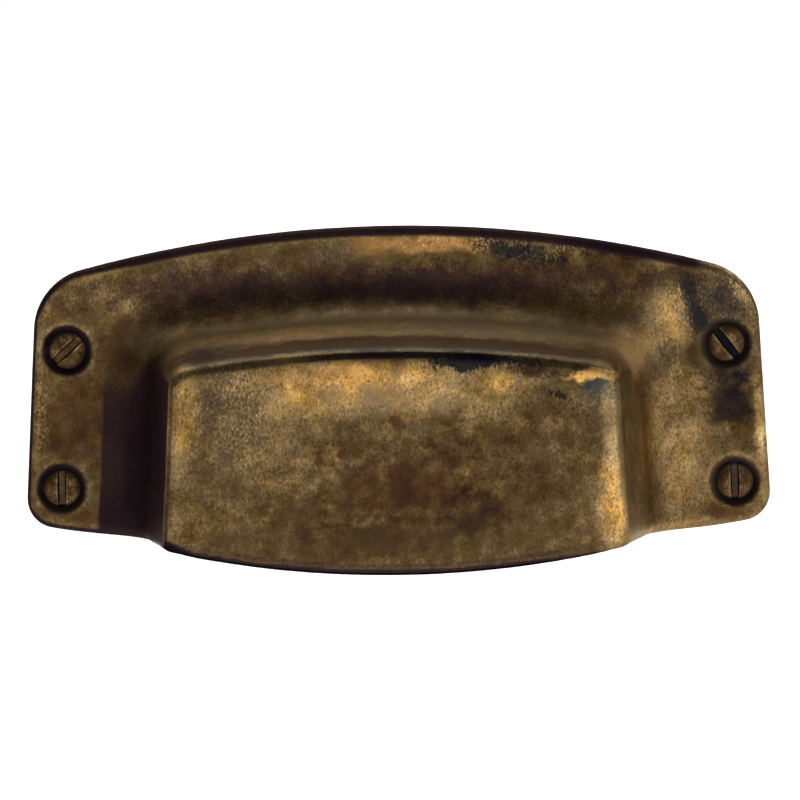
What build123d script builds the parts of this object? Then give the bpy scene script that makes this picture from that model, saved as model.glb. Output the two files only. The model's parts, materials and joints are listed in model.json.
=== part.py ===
from build123d import *
import os
from math import cos, radians, tan

# Cast brass bin pull for a drawer front, with the four slotted wood screws that hold it.
# Each piece is drawn lying on its back: X to the right, Y up the drawer front and Z forward.
# It is then stood up, so that +Z is up, the hood faces -Y and the back lies on the plane Y = 0.
# The origin is the middle of the screw pattern. Lengths are millimetres and angles are degrees.

# Flange: a plate with an arched top and sides that spread towards the bottom
PLATE_THICKNESS = 3.0
PLATE_TOP_WIDTH = 96.8
PLATE_BOTTOM_WIDTH = 100.4
PLATE_TOP = 25.5
PLATE_ARCH_RISE = 7.2
UPPER_CORNER_RADIUS = 8.5
LOWER_CORNER_RADIUS = 4.0

# Lower edge: the wings curve up at their ends, and the lip arches down between them
WING_EDGE = -16.0
WING_CURVE_RISE = 2.0
WING_LEVEL_LENGTH = 3.5
LIP_WIDTH = 59.0
LIP_DROP = 3.15
LIP_BLEND_RADIUS = 8.0

# Hood: the face is measured at its foremost plane, before its edges are rounded
HOOD_DEPTH = 21.5
FACE_TOP_WIDTH = 57.8
FACE_BOTTOM_WIDTH = 60.9
FACE_TOP = 10.1
FACE_ARCH_RISE = 2.6
FACE_CORNER_RADIUS = 2.6
FACE_EDGE_RADIUS = 2.0
FACE_CREST = -11.2
FACE_CROWN_RADIUS = 110.0
FACE_BOW_RADIUS = 500.0
WALL_DRAFT = 12.0
COVE_RADIUS = 7.0

# Shell: the hollow behind the hood follows its outside at an even wall
WALL = 2.4
INSIDE_CORNER_RADIUS = 1.4
INSIDE_EDGE_RADIUS = 1.0

# Broken edges: the front rim is well rounded, the back rim only filed
RIM_RADIUS = 1.2
BACK_RIM_CHAMFER = 0.5

# Screw holes: two rows, each hole set in from the sloping side of the flange
SCREW_ROW_SPACING = 18.6
SCREW_SIDE_MARGIN = 4.7
COUNTERSINK_DIAMETER = 6.6
COUNTERSINK_ANGLE = 90.0
HOLE_CLEARANCE = 0.2

# Screws: raised countersunk heads, each left at its own turn
HEAD_DIAMETER = 5.1
HEAD_CROWN = 0.6
SLOT_WIDTH = 1.0
SLOT_DEPTH = 0.95
SHANK_DIAMETER = 2.84
THREAD_PITCH_DIAMETER = 2.4
THREAD_START = 0.3
SCREW_LENGTH = 16.0
POINT_LENGTH = 2.6
SEAT_CLEARANCE = 0.02
UPPER_LEFT_TURN = 42.0
UPPER_RIGHT_TURN = -52.0
LOWER_LEFT_TURN = 90.0
LOWER_RIGHT_TURN = 91.0

# Heights and levels that follow from the sizes above
UPPER_CORNER = PLATE_TOP - PLATE_ARCH_RISE
LOWER_CORNER = WING_EDGE + WING_CURVE_RISE
LIP_BOTTOM = WING_EDGE - LIP_DROP
FACE_CORNER = FACE_TOP - FACE_ARCH_RISE
FRONT = PLATE_THICKNESS + HOOD_DEPTH
ROOT_SPREAD = FRONT * tan(radians(WALL_DRAFT))

# The hood is drawn past the lip by this much and then cut to its lower edge
RUN_OUT = 20.0
FOOT = LIP_BOTTOM - RUN_OUT
STOCK = 2 * PLATE_BOTTOM_WIDTH
TOLERANCE = 1e-4


def rounded(face, points, radius):
    """Round the corners of a face that stand at the given points."""
    corners = [face.vertices().sort_by_distance(point)[0] for point in points]
    return fillet(corners, radius)


def casting_outline():
    """Outline of the whole casting as seen from the front."""
    upper = (PLATE_TOP_WIDTH / 2, UPPER_CORNER)
    lower = (PLATE_BOTTOM_WIDTH / 2, LOWER_CORNER)
    lip = (LIP_WIDTH / 2, WING_EDGE)
    wing = (LIP_WIDTH / 2 + WING_LEVEL_LENGTH, WING_EDGE)
    right_side = [
        Line(upper, lower),
        TangentArc(wing, lower, tangent=(1, 0)),
        Line(wing, lip),
    ]
    left_side = [mirror(line, Plane.YZ) for line in right_side]
    top_arch = ThreePointArc((-upper[0], upper[1]), (0, PLATE_TOP), upper)
    lip_arch = ThreePointArc((-lip[0], lip[1]), (0, LIP_BOTTOM), lip)
    outline = make_face([top_arch, lip_arch] + right_side + left_side)
    outline = rounded(outline, [upper, (-upper[0], upper[1])], UPPER_CORNER_RADIUS)
    outline = rounded(outline, [lower, (-lower[0], lower[1])], LOWER_CORNER_RADIUS)
    return rounded(outline, [lip, (-lip[0], lip[1])], LIP_BLEND_RADIUS)


def face_outline(inset, corner_radius):
    """Outline of the hood at its foremost plane, drawn in from the outside by an inset."""
    lean = (FACE_BOTTOM_WIDTH - FACE_TOP_WIDTH) / 2 / (FACE_CORNER - WING_EDGE)
    corner = (FACE_TOP_WIDTH / 2 - inset, FACE_CORNER - inset)
    foot = (corner[0] + lean * (corner[1] - FOOT), FOOT)
    left_corner = (-corner[0], corner[1])
    left_foot = (-foot[0], foot[1])
    top_arch = ThreePointArc(left_corner, (0, FACE_TOP - inset), corner)
    sides = [Line(corner, foot), Line(foot, left_foot), Line(left_foot, left_corner)]
    return rounded(make_face([top_arch] + sides), [corner, left_corner], corner_radius)


def crowned_block(inset):
    """Block whose front is crowned like the face, set back from it by an inset."""
    disc = Pos(FACE_CREST, FRONT - FACE_CROWN_RADIUS) * Circle(FACE_CROWN_RADIUS - inset)
    section_area = disc & Pos(FACE_CREST, 0) * Rectangle(FACE_CROWN_RADIUS, 3 * FRONT)
    axis = Axis((0, 0, FRONT - FACE_BOW_RADIUS), (0, 1, 0))
    sweep_angle = 24
    block = revolve(Plane.YZ * section_area, axis, sweep_angle)
    return block.rotate(axis, -sweep_angle / 2)


def hood_block(inset, corner_radius, edge_radius):
    """Hood as a solid block from the back plane to the face, set in by an even inset."""
    outline = face_outline(inset / cos(radians(WALL_DRAFT)), corner_radius)
    root = offset(outline, ROOT_SPREAD, kind=Kind.INTERSECTION)
    block = extrude(root, FRONT, taper=WALL_DRAFT) & crowned_block(inset)
    face = block.faces().sort_by(Axis.Z)[-1]
    edges = face.edges().filter_by_position(Axis.Y, FOOT + ROOT_SPREAD, PLATE_TOP)
    return fillet(edges, edge_radius)


def root_edges(solid, level):
    """Edges where the hood rises from a plane at the given level."""
    edges = solid.edges().filter_by_position(Axis.Z, level - TOLERANCE, level + TOLERANCE)
    edges = edges.filter_by_position(Axis.X, -PLATE_BOTTOM_WIDTH / 2, PLATE_BOTTOM_WIDTH / 2)
    return edges.filter_by_position(Axis.Y, FOOT + RUN_OUT / 4, PLATE_TOP)


def rim_edges(solid, front):
    """Edges of the outline on the front of the casting, or on its back and in the hollow."""
    sides = solid.faces().filter_by(lambda face: abs(face.normal_at().Z) < TOLERANCE)
    facing = 1 if front else -1
    skin = solid.faces().filter_by(lambda face: facing * face.normal_at().Z > TOLERANCE)
    return ShapeList(set(sides.edges()) & set(skin.edges()))


def hollow():
    """Space behind the hood, flared at the back so that the coved root keeps its thickness."""
    space = hood_block(WALL, INSIDE_CORNER_RADIUS, INSIDE_EDGE_RADIUS)
    space += extrude(Rectangle(STOCK, STOCK), -RUN_OUT)
    return fillet(root_edges(space, 0), COVE_RADIUS + WALL)


def screw_seats():
    """Place and turn of every screw, as (x, y, turn)."""
    turns = {
        (-1, 1): UPPER_LEFT_TURN,
        (1, 1): UPPER_RIGHT_TURN,
        (-1, -1): LOWER_LEFT_TURN,
        (1, -1): LOWER_RIGHT_TURN,
    }
    slope = (PLATE_BOTTOM_WIDTH - PLATE_TOP_WIDTH) / 2 / (UPPER_CORNER - LOWER_CORNER)
    seats = []
    for (side, row), turn in turns.items():
        height = row * SCREW_ROW_SPACING / 2
        half_width = PLATE_TOP_WIDTH / 2 + slope * (UPPER_CORNER - height)
        seats.append((side * (half_width - SCREW_SIDE_MARGIN), height, turn))
    return seats


def screw_hole():
    """Clearance hole and countersink, open to the front."""
    hole_radius = SHANK_DIAMETER / 2 + HOLE_CLEARANCE
    mouth_radius = COUNTERSINK_DIAMETER / 2
    depth = (mouth_radius - hole_radius) / tan(radians(COUNTERSINK_ANGLE / 2))
    below = Align.CENTER, Align.CENTER, Align.MAX
    above = Align.CENTER, Align.CENTER, Align.MIN
    hole = Pos(0, 0, PLATE_THICKNESS) * Cylinder(hole_radius, 2 * PLATE_THICKNESS, align=below)
    hole += Pos(0, 0, PLATE_THICKNESS) * Cone(hole_radius, mouth_radius, depth, align=below)
    return hole + Pos(0, 0, PLATE_THICKNESS) * Cylinder(mouth_radius, COVE_RADIUS, align=above)


def pull_casting():
    """Flange, coved root, hood and lip in one casting."""
    form = extrude(Rectangle(STOCK, STOCK), PLATE_THICKNESS)
    form += hood_block(0, FACE_CORNER_RADIUS, FACE_EDGE_RADIUS)
    form = fillet(root_edges(form, PLATE_THICKNESS), COVE_RADIUS)
    form &= extrude(casting_outline(), 2 * FRONT)
    form -= hollow()
    form = fillet(rim_edges(form, front=True), RIM_RADIUS)
    form = chamfer(rim_edges(form, front=False), BACK_RIM_CHAMFER)
    for x, y, _ in screw_seats():
        form -= Pos(x, y, 0) * screw_hole()
    return form


def mounting_screw():
    """One slotted screw on the Z axis, seated in its countersink. The thread stands at its pitch diameter."""
    head_radius = HEAD_DIAMETER / 2
    shank_radius = SHANK_DIAMETER / 2
    thread_radius = THREAD_PITCH_DIAMETER / 2
    slope = tan(radians(COUNTERSINK_ANGLE / 2))
    seat_depth = (COUNTERSINK_DIAMETER - HEAD_DIAMETER) / 2 / slope
    rim = PLATE_THICKNESS - seat_depth + SEAT_CLEARANCE
    neck = rim - (head_radius - shank_radius) / slope
    crown_radius = (head_radius ** 2 + HEAD_CROWN ** 2) / (2 * HEAD_CROWN)
    top = (0, rim + HEAD_CROWN)
    point = (0, rim - SCREW_LENGTH)
    profile = [
        RadiusArc(top, (head_radius, rim), crown_radius),
        Polyline(
            (head_radius, rim),
            (shank_radius, neck),
            (shank_radius, -THREAD_START),
            (thread_radius, -THREAD_START),
            (thread_radius, point[1] + POINT_LENGTH),
            point,
            top,
        ),
    ]
    screw = revolve(Plane.XZ * make_face(profile), Axis.Z)
    slot = Box(2 * HEAD_DIAMETER, SLOT_WIDTH, SLOT_DEPTH, align=(Align.CENTER, Align.CENTER, Align.MAX))
    return screw - Pos(0, 0, top[1]) * slot


def mounting_screws():
    """The four screws as separate solids, each at its own turn."""
    screw = mounting_screw()
    return Compound(children=[Pos(x, y, 0) * Rot(Z=turn) * screw for x, y, turn in screw_seats()])


os.makedirs("parts", exist_ok=True)
export_step(Plane.XZ * pull_casting(), "parts/pull_casting.step")
export_step(Plane.XZ * mounting_screws(), "parts/mounting_screws.step")
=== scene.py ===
"""A cast brass bin pull for a drawer front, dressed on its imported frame.

The casting and its four screws are antique brass: a dark patina that handling has rubbed back to gold. They are
modelled in metres on the frame's own places and shown over a pale studio floor, a little from above.
"""

import json
import logging
import math
from dataclasses import dataclass, replace
from enum import Enum
from typing import Any, Callable, Sequence

import bpy
import numpy as np
from mathutils import Matrix, Vector
from mathutils.bvhtree import BVHTree

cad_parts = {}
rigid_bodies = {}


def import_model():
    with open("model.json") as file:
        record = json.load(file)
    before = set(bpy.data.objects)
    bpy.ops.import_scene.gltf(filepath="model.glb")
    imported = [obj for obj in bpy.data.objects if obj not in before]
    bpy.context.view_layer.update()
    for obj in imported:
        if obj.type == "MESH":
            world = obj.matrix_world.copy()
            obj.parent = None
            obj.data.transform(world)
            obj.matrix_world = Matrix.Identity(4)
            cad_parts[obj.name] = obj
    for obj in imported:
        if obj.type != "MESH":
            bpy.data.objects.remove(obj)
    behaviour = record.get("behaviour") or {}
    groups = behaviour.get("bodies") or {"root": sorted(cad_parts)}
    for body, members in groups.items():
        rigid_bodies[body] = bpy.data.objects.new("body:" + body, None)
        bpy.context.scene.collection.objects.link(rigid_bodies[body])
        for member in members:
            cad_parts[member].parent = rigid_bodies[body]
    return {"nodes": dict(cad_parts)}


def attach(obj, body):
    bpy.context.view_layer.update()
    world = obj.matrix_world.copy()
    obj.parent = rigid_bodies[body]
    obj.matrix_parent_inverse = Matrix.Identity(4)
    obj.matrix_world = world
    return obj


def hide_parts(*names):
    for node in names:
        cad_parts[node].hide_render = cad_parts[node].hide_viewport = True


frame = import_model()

Piece = bpy.types.Object
Socket = bpy.types.NodeSocket
Tree = bpy.types.NodeTree
Range = tuple[float, ...]
Limits = tuple[float, float]

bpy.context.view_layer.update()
MM = 0.001
HAIR = 1.0e-6
BODY = "root"

log = logging.getLogger("bin_pull")


class Tone(Enum):
    """Colours that the patina goes through, as sRGB hex values."""

    INK = "#15141A"
    SOOT = "#2A1D25"
    GRIME = "#382E29"
    BLUE_BLACK = "#1A2024"
    SLATE = "#3C4647"
    PLUM = "#32232C"
    UMBER = "#2E201B"
    BROWN = "#4E3922"
    RUSSET = "#553824"
    OLIVE = "#614E31"
    GREY = "#8B7C62"
    TAN = "#866D48"
    GOLD = "#AC8E5F"
    ORANGE = "#B98145"
    BRIGHT = "#E2BB80"


Steps = tuple[tuple[float, Tone], ...]


def linear(tone: str) -> tuple[float, float, float, float]:
    """Turn an sRGB hex colour into linear light.

    Args:
        tone: The colour as #RRGGBB.

    Returns:
        Red, green, blue and a full alpha, as a colour socket takes them.
    """
    parts = [int(tone[i : i + 2], 16) / 255 for i in (1, 3, 5)]
    return tuple(p / 12.92 if p <= 0.04045 else ((p + 0.055) / 1.055) ** 2.4 for p in parts) + (1.0,)


def add_node(
    tree: Tree, kind: str, inputs: dict[str | int, Any] | Sequence[Any] = (), **settings: Any
) -> bpy.types.NodeOutputs:
    """Add a shader node, set it up and wire it.

    Args:
        tree: The node tree of a material or the world.
        kind: The node's type without its ShaderNode prefix.
        inputs: What the inputs take, in order, or by name or place. A socket is linked and anything else is set.
        **settings: The node's own properties.

    Returns:
        The new node's outputs.
    """
    node = tree.nodes.new("ShaderNode" + kind)
    for name, value in settings.items():
        setattr(node, name, value)
    for place, value in inputs.items() if isinstance(inputs, dict) else enumerate(inputs):
        if isinstance(value, Socket):
            tree.links.new(value, node.inputs[place])
        else:
            node.inputs[place].default_value = value
    return node.outputs


def set_stops(ramp: bpy.types.ColorRamp, steps: Steps) -> None:
    """Set the colours of a ramp that still has its first two stops.

    Args:
        ramp: The ramp.
        steps: Each stop's place and colour, from the lowest up.
    """
    stops = ramp.elements
    for stop, (position, tone) in zip(stops, (steps[0], steps[-1])):
        stop.position, stop.color = position, linear(tone.value)
    for position, tone in steps[1:-1]:
        stops.new(position).color = linear(tone.value)


def new_material(name: str) -> bpy.types.Material:
    """Make an empty node material.

    Args:
        name: The material's name.

    Returns:
        The material, with no nodes in it.
    """
    material = bpy.data.materials.new(name)
    material.use_nodes = True
    material.node_tree.nodes.clear()
    return material


def take(piece: Piece) -> None:
    """Make a piece the only one selected, and the active one.

    Args:
        piece: The object to work on.
    """
    for other in bpy.data.objects:
        other.select_set(other == piece)
    bpy.context.view_layer.objects.active = piece


def finish_with(piece: Piece, kind: str, **settings: Any) -> None:
    """Add a modifier to a piece and apply it.

    Args:
        piece: The object to work on.
        kind: The modifier's type.
        **settings: The modifier's own properties.
    """
    take(piece)
    modifier = piece.modifiers.new(kind.lower(), kind)
    for name, value in settings.items():
        setattr(modifier, name, value)
    bpy.ops.object.modifier_apply(modifier=modifier.name)


def pick_edges(piece: Piece, wanted: Callable[[Vector, Vector], bool]) -> None:
    """Select the edges of the piece in edit mode whose two ends pass a test.

    Args:
        piece: The object in edit mode.
        wanted: Says of an edge's two end points whether the edge is picked.
    """
    bpy.ops.mesh.select_all(action="DESELECT")
    bpy.ops.mesh.select_mode(type="EDGE")
    bpy.ops.object.mode_set(mode="OBJECT")
    mesh = piece.data
    for edge in mesh.edges:
        edge.select = wanted(*(mesh.vertices[v].co for v in edge.vertices))
    bpy.ops.object.mode_set(mode="EDIT")


def points_of(mesh: bpy.types.Mesh, what: str = "co") -> np.ndarray:
    """Read a value of three numbers from every vertex.

    Args:
        mesh: The mesh to read.
        what: The vertex property, its place or its normal.

    Returns:
        One row of three numbers per vertex.
    """
    rows = np.empty(len(mesh.vertices) * 3)
    mesh.vertices.foreach_get(what, rows)
    return rows.reshape(-1, 3)


def write_share(mesh: bpy.types.Mesh, name: str, values: np.ndarray) -> None:
    """Keep one number per vertex on a mesh, for its finish to read.

    Args:
        mesh: The mesh to write on.
        name: The attribute's name.
        values: One number per vertex.
    """
    attribute = mesh.attributes.new(name, "FLOAT", "POINT")
    attribute.data.foreach_set("value", values.astype(np.float32))


def fade(values: np.ndarray, none: float | np.ndarray, full: float | np.ndarray) -> np.ndarray:
    """Grade numbers between two limits, either of which may be the lower one.

    Args:
        values: One number per vertex.
        none: Where the share is 0.
        full: Where the share is 1.

    Returns:
        One share per vertex, from 0 to 1.
    """
    return np.clip((values - none) / (full - none), 0.0, 1.0)


@dataclass(frozen=True)
class Mark:
    """A patch of the patina on the front of the casting, an oval with a ragged edge.

    Wear rubs the dark skin away, or keeps it where it is below 0. Grit sharpens the grain, and a tone is laid over
    as a stain; a few marks use these to paint highlight or shade. Lengths are millimetres, and the tilt is in degrees.
    """

    x: float
    z: float
    half_width: float
    half_height: float
    wear: float = 0.0
    grit: float = 0.0
    tone: Tone | None = None
    cover: float = 0.6
    softness: float = 0.5
    raggedness: float = 0.8
    tilt: float = 0.0
    y: float = 0.0
    half_depth: float = 1.0e4
    crisp: bool = False


# Where hands rubbed the casting to metal (wear above 0) or left its dark skin (below 0); noted marks paint light or
# shade
MARKS: tuple[Mark, ...] = (
    # Face of the hood: gold along its top, clouded below
    Mark(0.0, -4.0, 40.0, 30.0, wear=0.08, y=-25.0, half_depth=3.0, softness=0.2, raggedness=0.0),
    Mark(-10.0, 6.0, 9.6, 3.8, wear=0.28),
    Mark(-5.0, 7.2, 4.4, 2.4, wear=0.12, tone=Tone.ORANGE, cover=0.25),
    Mark(-12.9, 4.8, 1.8, 1.6, wear=0.12),
    Mark(2.0, 7.4, 1.6, 1.1, wear=0.2),
    Mark(-4.0, 7.9, 2.2, 0.9, wear=0.15),
    Mark(-17.4, 4.8, 2.4, 1.6, wear=-0.11),
    Mark(-2.6, 5.2, 2.2, 1.2, wear=-0.12),
    Mark(-21.2, 1.7, 4.2, 7.4, wear=-0.06, grit=0.8, tone=Tone.GREY, cover=0.2),
    Mark(-28.0, 2.4, 2.2, 6.2, wear=0.34, softness=0.8),
    Mark(-22.0, 6.9, 4.2, 2.0, wear=0.16),
    Mark(-16.2, 0.0, 3.2, 3.4, wear=0.12),
    Mark(-17.6, -5.0, 2.4, 2.4, wear=0.09),
    Mark(-23.2, -5.2, 2.2, 2.4, wear=-0.08),
    Mark(-27.0, -13.0, 2.4, 4.0, wear=0.10),
    Mark(-8.3, 4.6, 2.2, 1.3, tone=Tone.GREY, cover=0.3),
    Mark(-1.6, 4.6, 3.6, 2.0, tone=Tone.GREY, cover=0.35),
    Mark(-3.1, -8.0, 6.0, 3.2, wear=-0.16, tone=Tone.RUSSET, cover=0.25, softness=0.8),
    Mark(-5.4, -1.8, 3.2, 1.5, wear=-0.10),
    Mark(-9.9, -3.7, 0.8, 0.8, wear=-0.2, tone=Tone.RUSSET),
    Mark(-6.8, -2.8, 0.7, 0.9, wear=-0.16, tone=Tone.RUSSET),
    Mark(-0.3, -7.9, 0.6, 0.7, wear=-0.2, tone=Tone.RUSSET),
    Mark(0.3, 1.3, 0.9, 0.8, wear=-0.16, tone=Tone.RUSSET),
    Mark(-8.0, -14.6, 16.0, 2.6, wear=-0.13, tone=Tone.OLIVE, cover=0.25, softness=0.8),
    Mark(-13.0, -10.8, 4.4, 2.6, wear=-0.14),
    Mark(-3.0, -13.9, 6.0, 2.4, wear=-0.18),
    Mark(5.4, -14.6, 2.4, 2.8, wear=-0.10),
    Mark(8.4, 5.6, 11.0, 3.8, wear=0.18),
    Mark(6.0, 4.6, 3.6, 2.4, wear=0.08, tone=Tone.GREY, cover=0.25),
    Mark(7.2, 2.6, 2.8, 1.8, wear=-0.16),
    Mark(13.9, 6.0, 1.8, 1.3, wear=0.26),
    Mark(18.6, 3.6, 2.8, 2.6, wear=-0.11),
    Mark(26.4, 7.1, 3.3, 0.75, wear=0.75, softness=0.35, raggedness=0.3),
    Mark(22.0, 4.5, 1.3, 0.65, tone=Tone.INK, cover=0.8, softness=0.3, raggedness=1.2, tilt=-35.0),
    Mark(26.8, 5.0, 2.0, 1.4, tone=Tone.SLATE, cover=0.74, softness=0.7, raggedness=1.2),
    # Painted highlight along the right edge of the face, which turns towards the light
    Mark(28.4, 2.0, 1.3, 4.0, wear=0.15, tone=Tone.GREY, cover=0.2),
    Mark(28.4, -5.0, 1.3, 3.6, wear=0.2),
    Mark(28.5, -11.2, 1.9, 4.6, wear=0.33, softness=0.7),
    Mark(28.0, -16.2, 2.6, 1.4, wear=-0.12),
    Mark(3.9, -7.5, 5.0, 3.2, wear=-0.18, tone=Tone.RUSSET, cover=0.3, softness=0.8),
    Mark(7.7, -2.1, 3.8, 2.5, wear=-0.10),
    Mark(17.6, -6.6, 8.8, 6.8, wear=-0.12, softness=0.8),
    Mark(10.4, -10.8, 4.2, 2.8, wear=-0.18),
    Mark(21.5, -12.6, 3.0, 3.0, wear=0.10),
    Mark(22.8, -4.8, 2.2, 2.4, wear=0.09),
    Mark(14.1, -14.6, 12.0, 2.8, wear=-0.04, tone=Tone.OLIVE, cover=0.25, softness=0.8),
    Mark(10.0, 8.8, 5.0, 1.15, tone=Tone.BLUE_BLACK, cover=0.93, softness=0.3, raggedness=0.6),
    Mark(17.0, 8.9, 2.6, 0.6, tone=Tone.INK, cover=0.55, softness=0.25, raggedness=1.1),
    Mark(19.0, 7.6, 2.3, 1.0, wear=-0.2, tone=Tone.UMBER, cover=0.6, raggedness=1.1),
    # Flange over the hood
    Mark(-40.5, 17.2, 3.0, 1.4, wear=0.10),
    Mark(-37.4, 15.3, 3.2, 2.4, wear=0.13),
    Mark(-8.0, 21.9, 3.7, 1.6, wear=-0.06, grit=1.0, tone=Tone.GREY, cover=0.2),
    Mark(-2.6, 22.9, 3.2, 1.3, wear=0.14, tone=Tone.ORANGE, cover=0.3),
    Mark(5.9, 23.0, 6.8, 1.0, wear=0.26, grit=0.4, tone=Tone.ORANGE, cover=0.35),
    Mark(15.9, 22.2, 4.6, 1.2, grit=0.8, tone=Tone.BLUE_BLACK, cover=0.85, softness=0.6, raggedness=1.4, tilt=-14.0),
    Mark(22.5, 22.1, 2.6, 1.4, wear=-0.09, grit=1.0, raggedness=1.2),
    Mark(29.4, 19.6, 4.5, 3.0, wear=-0.13),
    Mark(36.0, 11.8, 2.9, 5.4, wear=0.26, tone=Tone.GREY, cover=0.15, tilt=-13.0),
    Mark(37.6, 13.4, 1.4, 3.6, wear=0.10, tilt=14.0),
    Mark(38.8, 18.6, 3.0, 1.6, wear=-0.14),
    Mark(43.6, 15.4, 5.0, 3.8, wear=0.02, grit=0.9, tone=Tone.SLATE, cover=0.32, softness=1.0, raggedness=1.4),
    Mark(46.8, 17.0, 4.6, 1.8, wear=0.18, tilt=-48.0),
    Mark(
        40.3, 13.4, 1.1, 5.4, grit=0.5, tone=Tone.BLUE_BLACK, cover=0.8, softness=0.5, raggedness=0.5, tilt=18.0,
        crisp=True,
    ),
    Mark(44.0, 5.4, 2.8, 1.4, tone=Tone.BLUE_BLACK, cover=0.6, softness=0.8, raggedness=1.2),
    Mark(29.5, 22.2, 4.8, 0.9, wear=-0.25, tone=Tone.SOOT, cover=0.6, softness=0.7, tilt=-11.0),
    # Cove and walls of the hood
    Mark(0.0, 17.4, 36.0, 2.4, wear=-0.06, tone=Tone.PLUM, cover=0.4),
    Mark(5.7, 18.1, 7.6, 2.2, wear=-0.02, tone=Tone.PLUM, cover=0.35),
    Mark(-6.4, 16.8, 3.6, 1.6, wear=-0.09),
    Mark(25.5, 16.2, 6.0, 2.4, wear=0.12),
    Mark(20.0, 20.2, 4.5, 1.4, wear=-0.08),
    Mark(-25.4, 17.0, 9.4, 2.8, wear=-0.02, tone=Tone.PLUM, cover=0.35, tilt=7.0),
    Mark(-18.0, 14.0, 18.0, 9.0, wear=0.21, y=-12.4, half_depth=2.6, softness=0.6, raggedness=0.3),
    # Painted highlight: a paler grey band round the middle of the cove
    Mark(
        0.0, 15.0, 60.0, 6.0, wear=0.27, tone=Tone.GREY, cover=0.5, y=-11.0, half_depth=5.2, softness=0.3,
        raggedness=0.1,
    ),
    # Painted dark reflection: a brown strip along the top wall of the hood, over the face
    Mark(
        0.0, 16.0, 46.0, 9.0, wear=-0.16, tone=Tone.BROWN, cover=0.5, y=-18.8, half_depth=3.2, softness=0.12,
        raggedness=0.04,
    ),
    # Painted highlight: the upper right corner of the cove made paler
    Mark(
        31.4, 9.2, 3.0, 3.4, wear=0.55, tone=Tone.GREY, cover=0.5, y=-8.0, half_depth=6.0, softness=0.7,
        raggedness=0.4,
    ),
    Mark(
        -31.8, 10.6, 4.0, 2.2, wear=0.26, tone=Tone.GREY, cover=0.35, y=-5.5, half_depth=4.5, softness=0.6,
        raggedness=0.4,
    ),
    Mark(
        -26.6, 10.3, 3.8, 2.2, wear=-0.14, tone=Tone.PLUM, cover=0.35, y=-17.0, half_depth=5.0, softness=0.7,
        raggedness=0.3,
    ),
    # Painted shade on the left wall of the hood
    Mark(-34.6, -4.9, 4.4, 14.0, wear=-0.18, y=-13.0, half_depth=10.5, softness=0.25, raggedness=0.3),
    Mark(-37.0, 9.6, 2.0, 3.6, wear=-0.10, tone=Tone.RUSSET, cover=0.35),
    # Painted light on the right of the cove, which faces the light
    Mark(37.4, -2.0, 4.0, 12.0, wear=0.24),
    Mark(34.9, 6.9, 1.7, 2.0, wear=-0.2),
    # Painted light on the right wall and cove of the hood
    Mark(32.0, -3.0, 2.6, 13.0, wear=0.18, y=-15.0, half_depth=8.0),
    Mark(33.2, -2.0, 2.4, 17.0, wear=0.13, y=-7.6, half_depth=4.0, softness=0.6, raggedness=0.3),
    Mark(36.5, 8.1, 1.3, 1.5, tone=Tone.BLUE_BLACK, cover=0.45, raggedness=1.0),
    # Wings, duller round three of the screws
    Mark(-44.2, 9.3, 5.2, 5.2, wear=-0.05),
    Mark(-45.2, -9.3, 5.2, 5.2, wear=-0.06),
    Mark(44.2, 9.3, 5.2, 5.2, wear=-0.12),
    Mark(38.6, 7.4, 2.4, 2.4, wear=-0.10),
    Mark(41.6, 3.6, 2.2, 2.2, wear=0.14),
    Mark(44.7, 1.3, 3.0, 3.4, wear=-0.22, tone=Tone.BLUE_BLACK, cover=0.35, raggedness=1.0),
    Mark(47.0, -2.4, 2.0, 2.8, wear=-0.12),
    Mark(48.8, -1.9, 0.8, 4.2, wear=0.22, grit=-0.3, softness=0.4, raggedness=0.5),
    Mark(39.0, -9.8, 3.4, 3.4, wear=0.09),
    Mark(44.4, -13.5, 2.4, 0.9, wear=-0.14, tone=Tone.RUSSET, cover=0.5),
    Mark(-44.1, 0.1, 4.8, 6.2, wear=-0.06, tone=Tone.RUSSET, cover=0.25),
    Mark(-47.6, 0.5, 0.8, 5.0, wear=0.08, grit=0.9, softness=0.8, raggedness=1.2),
    Mark(-46.5, -13.2, 2.6, 1.8, wear=-0.10),
    Mark(-42.0, -13.8, 3.0, 1.8, wear=-0.07, tone=Tone.RUSSET, cover=0.3),
)


@dataclass(frozen=True)
class Noise:
    """A noise in a finish: the size of its spots in millimetres, its finer layers and how strong they are."""

    spot_mm: float
    layers: float = 2.0
    fine: float = 0.5


@dataclass(frozen=True)
class Ground:
    """What the layers of the patina are laid on: places in millimetres, noises, and what the casting notes."""

    tree: Tree
    mm: Socket
    ragged: Socket
    cloud: Socket
    mottle: Socket
    grain: Socket
    crumble: Socket
    bloom: Socket
    relief: Socket
    front: Socket
    soot_and_shade: Socket
    painted_edge_band: Socket
    tip: Socket


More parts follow.
